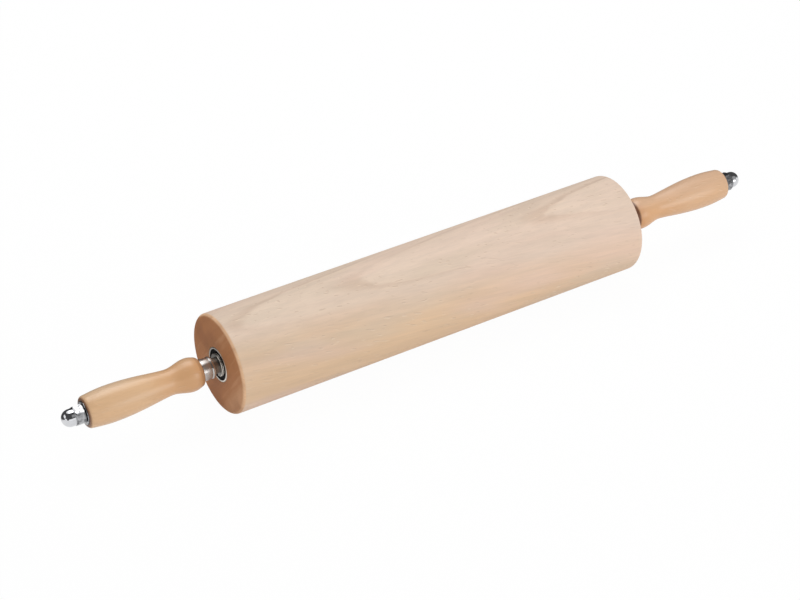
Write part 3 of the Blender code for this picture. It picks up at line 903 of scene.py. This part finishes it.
def make_bearing(side, place):
    """The two races with their grooves, the balls between them and a seal on each face."""
    groove_reach = math.acos(RACE_GAP / 2 / BALL_ROOM)
    outer_groove = (-groove_reach, groove_reach)
    inner_groove = (math.pi - groove_reach, math.pi + groove_reach)
    middle = (PITCH_RADIUS, BEARING_MIDDLE)
    outer = [
        (BEARING_RADIUS, RACE_END, RACE_EDGE),
        (BEARING_RADIUS, RACE_START, RACE_EDGE),
        (SEAL_SEAT, RACE_START, LAND_EDGE),
        (SEAL_SEAT, RACE_START + SEAL_SEAT_DEPTH, 0.0),
        (OUTER_LAND, RACE_START + SEAL_SEAT_DEPTH, 0.0),
        *sharp(arc(middle, BALL_ROOM, *outer_groove, GROOVE_STEPS)),
        (OUTER_LAND, RACE_END - SEAL_SEAT_DEPTH, 0.0),
        (SEAL_SEAT, RACE_END - SEAL_SEAT_DEPTH, 0.0),
        (SEAL_SEAT, RACE_END, LAND_EDGE),
    ]
    inner = [
        (INNER_LAND, RACE_END, RACE_EDGE),
        *sharp(arc(middle, BALL_ROOM, *inner_groove, GROOVE_STEPS)),
        (INNER_LAND, RACE_START, RACE_EDGE),
        (RACE_BORE, RACE_START, LAND_EDGE),
        (RACE_BORE, RACE_END, LAND_EDGE),
    ]
    dress(side + "_bearing_outer_race", lathe(rounded(outer)), place)
    dress(side + "_bearing_inner_race", lathe(rounded(inner)), place)

    for which in ("front", "back"):
        start, end, radius = reach("bearing_" + which + "_seal")
        inner_edge = INNER_LAND + RUNNING_CLEARANCE
        seal = [
            (radius, start, SEAL_EDGE),
            (radius, end, SEAL_EDGE),
            (radius - SEAL_LIP, end, SEAL_EDGE),
            (radius - SEAL_LIP, end - SEAL_CHANNEL, SEAL_EDGE),
            (inner_edge + SEAL_LIP, end - SEAL_CHANNEL, SEAL_EDGE),
            (inner_edge + SEAL_LIP, end, SEAL_EDGE),
            (inner_edge, end, SEAL_EDGE),
            (inner_edge, start, SEAL_EDGE),
        ]
        dress(side + "_bearing_" + which + "_seal", lathe(rounded(seal)), place)

    for number in range(BALL_COUNT):
        name = side + "_bearing_ball_" + str(number + 1)
        low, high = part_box(name)
        ball = bmesh.new()
        radius = (high.x - low.x) / 2
        bmesh.ops.create_uvsphere(ball, u_segments=BALL_SIDES, v_segments=BALL_RINGS, radius=radius)
        dress(name, ball, Matrix.Translation((low + high) / 2))


def make_retaining_ring(side, place):
    """An open ring with a bright chamfer round its outer side."""
    start, end, radius = reach("retaining_ring")
    inner = radius - RING_WIDTH
    outline = [
        (radius - RING_CHAMFER_WIDTH, end, RING_EDGE),
        (radius, end - RING_CHAMFER_HEIGHT, 0.0),
        (radius, start, 0.0),
        (inner, start, RING_EDGE),
        (inner, end, RING_EDGE),
    ]
    opening = 2 * math.asin(RING_OPENING / (radius + inner))
    dress(side + "_retaining_ring", lathe(rounded(outline), opening=opening), place)


def make_ferrule(side, place):
    """A sleeve with a low bead rolled into its inner end."""
    start, end, radius = reach("ferrule")
    sleeve = radius - FERRULE_BEAD_HEIGHT / 2
    bead_end = start + FERRULE_BEAD_WIDTH
    outline = [
        (radius, end, FERRULE_OUTER_EDGE),
        (sleeve, bead_end + FERRULE_BEAD_HEIGHT, FERRULE_BEAD_HEIGHT),
        (radius - FERRULE_BEAD_HEIGHT, bead_end, FERRULE_BEAD_HEIGHT / 2),
        (radius, bead_end - FERRULE_INNER_EDGE, FERRULE_INNER_EDGE),
        (radius, start, FERRULE_INNER_EDGE),
        (SLEEVE_BORE, start, 0.0),
        (SLEEVE_BORE, end, 0.0),
    ]
    dress(side + "_ferrule", lathe(rounded(outline)), place)


def swept(start, end, ease):
    """Points after the start, up to the end. The radius follows ease(share) from 0 to 1."""
    points = []
    for i in range(1, HANDLE_STEPS + 1):
        share = i / HANDLE_STEPS
        radius = start[0] + (end[0] - start[0]) * ease(share)
        points.append((radius, start[1] + (end[1] - start[1]) * share))
    return points


def rise_to_crest(share):
    return math.sin(math.pi / 2 * share)


def fall_from_crest(share):
    return 1 - math.cos(math.pi / 2 * share)


def crest_to_hollow(share):
    return (1 - math.cos(math.pi * share)) / 2


def hollow_to_swell(share):
    return (1 - math.cos(math.pi * share**SWELL_LEAN)) / 2


def make_handle(side, place):
    """The handle's bead, waist and swell, with a rounded edge at each end."""
    start, end, swell_radius = reach("handle")
    quarter = math.pi / 2
    inner_edge = (HANDLE_INNER_RADIUS - HANDLE_INNER_EDGE, start + HANDLE_INNER_EDGE)
    bead = (HANDLE_BEAD_RADIUS, start + HANDLE_BEAD_DISTANCE)
    waist = (HANDLE_WAIST_RADIUS, start + HANDLE_WAIST_DISTANCE)
    swell = (swell_radius, end - HANDLE_SWELL_INSET)
    shoulder = (HANDLE_OUTER_RADIUS, end - HANDLE_OUTER_EDGE)
    outer_edge = (HANDLE_OUTER_RADIUS - HANDLE_OUTER_EDGE, shoulder[1])
    washer_seat = reach("end_washer")[0] - SEAT_GAP
    seat_radius = reach("end_washer")[2] + SEAT_GAP
    outline = [
        (seat_radius, end),
        (seat_radius, washer_seat),
        (SLEEVE_BORE, washer_seat),
        (SLEEVE_BORE, start),
    ]
    outline += arc(inner_edge, HANDLE_INNER_EDGE, -quarter, -MOUTH_SLOPE)
    outline += swept(outline[-1], bead, rise_to_crest)
    outline += swept(bead, waist, crest_to_hollow)
    outline += swept(waist, swell, hollow_to_swell)
    outline += swept(swell, shoulder, fall_from_crest)
    outline += arc(outer_edge, HANDLE_OUTER_EDGE, 0.0, quarter)[1:]
    dress(side + "_handle", lathe(outline), place)


def make_washer(side, place):
    start, end, radius = reach("end_washer")
    outline = [
        (radius, end, WASHER_EDGE),
        (radius, start, WASHER_EDGE),
        (SLEEVE_BORE, start, WASHER_BORE_EDGE),
        (SLEEVE_BORE, end, WASHER_BORE_EDGE),
    ]
    dress(side + "_end_washer", lathe(rounded(outline)), place)


def press_to_hexagon(shape, lowest, highest):
    """Draw the vertices between two heights in to a hexagon, with softened edges."""
    for vertex in shape.verts:
        radius = math.hypot(vertex.co.x, vertex.co.y)
        if radius < NUT_FLAT_RADIUS - 2 * NUT_DOME_STEP or not lowest <= vertex.co.z <= highest:
            continue
        angle = math.atan2(vertex.co.y, vertex.co.x) - NUT_TURN
        from_flat = angle % (math.pi / 3) - math.pi / 6
        flat = NUT_FLAT_RADIUS / math.cos(from_flat)
        share = min(max(0.5 + (flat - radius) / (2 * NUT_ROUNDING), 0.0), 1.0)
        pressed = flat + (radius - flat) * share - NUT_ROUNDING * share * (1 - share)
        vertex.co.x *= pressed / radius
        vertex.co.y *= pressed / radius


def make_nut(side, place):
    """A hexagon with its corners turned away, a dome on its outer end and a blind hole."""
    start, end, _ = reach("acorn_nut")
    hex_end = start + NUT_HEX_HEIGHT
    corner = NUT_FLAT_RADIUS / math.cos(math.pi / 6)
    rim = NUT_FLAT_RADIUS - NUT_RIM_STEP
    dome = NUT_FLAT_RADIUS - NUT_DOME_STEP
    outside = [
        (dome, hex_end),
        (rim, hex_end),
        (corner, hex_end - NUT_SHOULDER),
        (corner, start + NUT_FOOT),
        (rim, start),
    ]
    outline = arc((0.0, end - dome), dome, math.pi / 2, 0.0, DOME_STEPS)
    outline += split(outside, NUT_STEP)
    outline += [
        (SLEEVE_BORE, start),
        (SLEEVE_BORE, end - NUT_TOP_WALL),
        (0.0, end - NUT_TOP_WALL),
    ]
    shape = lathe(outline, NUT_SIDES, closed=False)
    press_to_hexagon(shape, start, hex_end)
    dress(side + "_acorn_nut", shape, place)


# The setting


def make_floor():
    """A pale floor that the camera sees as white, with the pin's shadow left on it."""
    shape = bmesh.new()
    bmesh.ops.create_grid(shape, x_segments=1, y_segments=1, size=FLOOR_SIZE / 2)
    mesh = bpy.data.meshes.new("floor")
    shape.to_mesh(mesh)
    shape.free()
    floor = bpy.data.objects.new("floor", mesh)
    bpy.context.scene.collection.objects.link(floor)

    material = bpy.data.materials.new("floor")
    material.use_nodes = True
    nodes = Nodes(material.node_tree)
    tree = material.node_tree
    tree.nodes.remove(tree.nodes["Principled BSDF"])
    rays = tree.nodes.new("ShaderNodeLightPath").outputs
    seen = nodes.math("MAXIMUM", rays["Is Camera Ray"], rays["Is Transmission Ray"])
    paint = nodes.mix(seen, FLOOR_BOUNCE, FLOOR_SEEN)
    place = nodes.add("TexCoord", output="Object")
    towards_back = nodes.add("SeparateXYZ", [(0, place)], output=1)
    mirrored_white = nodes.span(towards_back, *FLOOR_EDGE, *FLOOR_MIRRORED)
    strength = nodes.math("MAXIMUM", seen, nodes.product(rays["Is Glossy Ray"], mirrored_white))
    glow = nodes.add("Emission", [("Strength", strength)])
    share = nodes.product(seen, FLOOR_WHITENESS)
    share = nodes.math("MAXIMUM", share, rays["Is Glossy Ray"])
    matt = nodes.add("BsdfDiffuse", [("Color", paint)])
    surface = nodes.add("MixShader", [(0, share), (1, matt), (2, glow)])
    nodes.feed(tree.nodes["Material Output"].inputs["Surface"], surface)
    mesh.materials.append(material)


def make_world():
    """A dim room for the light, white to the camera. Mirrors see bright panels and a low front."""
    world = bpy.data.worlds.new("room")
    bpy.context.scene.world = world
    world.use_nodes = True
    nodes = Nodes(world.node_tree)
    ways = world.node_tree.nodes.new("ShaderNodeTexCoord").outputs["Generated"]
    rays = world.node_tree.nodes.new("ShaderNodeLightPath").outputs
    _, back, height = nodes.add("SeparateXYZ", [(0, ways)]).node.outputs
    mirrored_room = nodes.product(nodes.span(back, *FRONT_SIDE), nodes.span(height, *FRONT_TOP))
    for panel, edge, brightness in ROOM_PANELS:
        share = nodes.span(nodes.dot(ways, panel), *edge)
        mirrored_room = nodes.mix(share, mirrored_room, (brightness, brightness, brightness, 1.0))
    mirrored_room = nodes.mix(1.0, mirrored_room, ROOM_DARK, "LIGHTEN")
    ambient = nodes.span(nodes.dot(ways, AMBIENT_SIDE), -1.0, 1.0, *AMBIENT)
    seen = nodes.math("MAXIMUM", rays["Is Camera Ray"], rays["Is Transmission Ray"])
    level = nodes.mix(rays["Is Glossy Ray"], ambient, mirrored_room)
    level = nodes.mix(seen, level, (1, 1, 1, 1))
    nodes.feed(world.node_tree.nodes["Background"].inputs["Color"], level)


def make_lamp(name, place, power):
    """A soft square lamp that shines at the middle of the pin."""
    data = bpy.data.lights.new(name, "AREA")
    data.shape = "SQUARE"
    data.size = LAMP_SIZE
    data.energy = power
    lamp = bpy.data.objects.new(name, data)
    bpy.context.scene.collection.objects.link(lamp)
    lamp.location = place
    aim = Vector((0, 0, ROLLER_RADIUS)) - lamp.location
    lamp.rotation_euler = aim.to_track_quat("-Z", "Y").to_euler()
    lamp.visible_camera = False


def camera_back():
    """The direction from the pin to the camera."""
    level = math.cos(ELEVATION)
    return Vector((math.sin(AZIMUTH) * level, -math.cos(AZIMUTH) * level, math.sin(ELEVATION)))


def make_camera():
    back = camera_back()
    right = Vector((math.cos(AZIMUTH), math.sin(AZIMUTH), 0))
    up = back.cross(right)
    data = bpy.data.cameras.new("camera")
    data.sensor_width = SENSOR_WIDTH
    data.lens = FOCAL_LENGTH * SENSOR_WIDTH / IMAGE_WIDTH
    data.clip_start = CAMERA_CLIP
    camera = bpy.data.objects.new("camera", data)
    bpy.context.scene.collection.objects.link(camera)
    place = Vector((0, 0, ROLLER_RADIUS)) + back * DISTANCE + right * STEP_RIGHT + up * STEP_UP
    turn = Matrix((right, up, back)).transposed().to_4x4()
    camera.matrix_world = Matrix.Translation(place) @ turn
    bpy.context.scene.camera = camera


make_roller()
make_rod()
for side, place in END_PLACES.items():
    make_bearing(side, place)
    make_retaining_ring(side, place)
    make_ferrule(side, place)
    make_handle(side, place)
    make_washer(side, place)
    make_nut(side, place)
    cage = side + "_bearing_cage"
    frame["nodes"][cage].data.materials[0] = materials[slots[cage]]

make_camera()
make_floor()
make_world()
for name, (place, power) in LAMPS.items():
    make_lamp(name, place, power)
bpy.context.scene.view_settings.view_transform = "Standard"
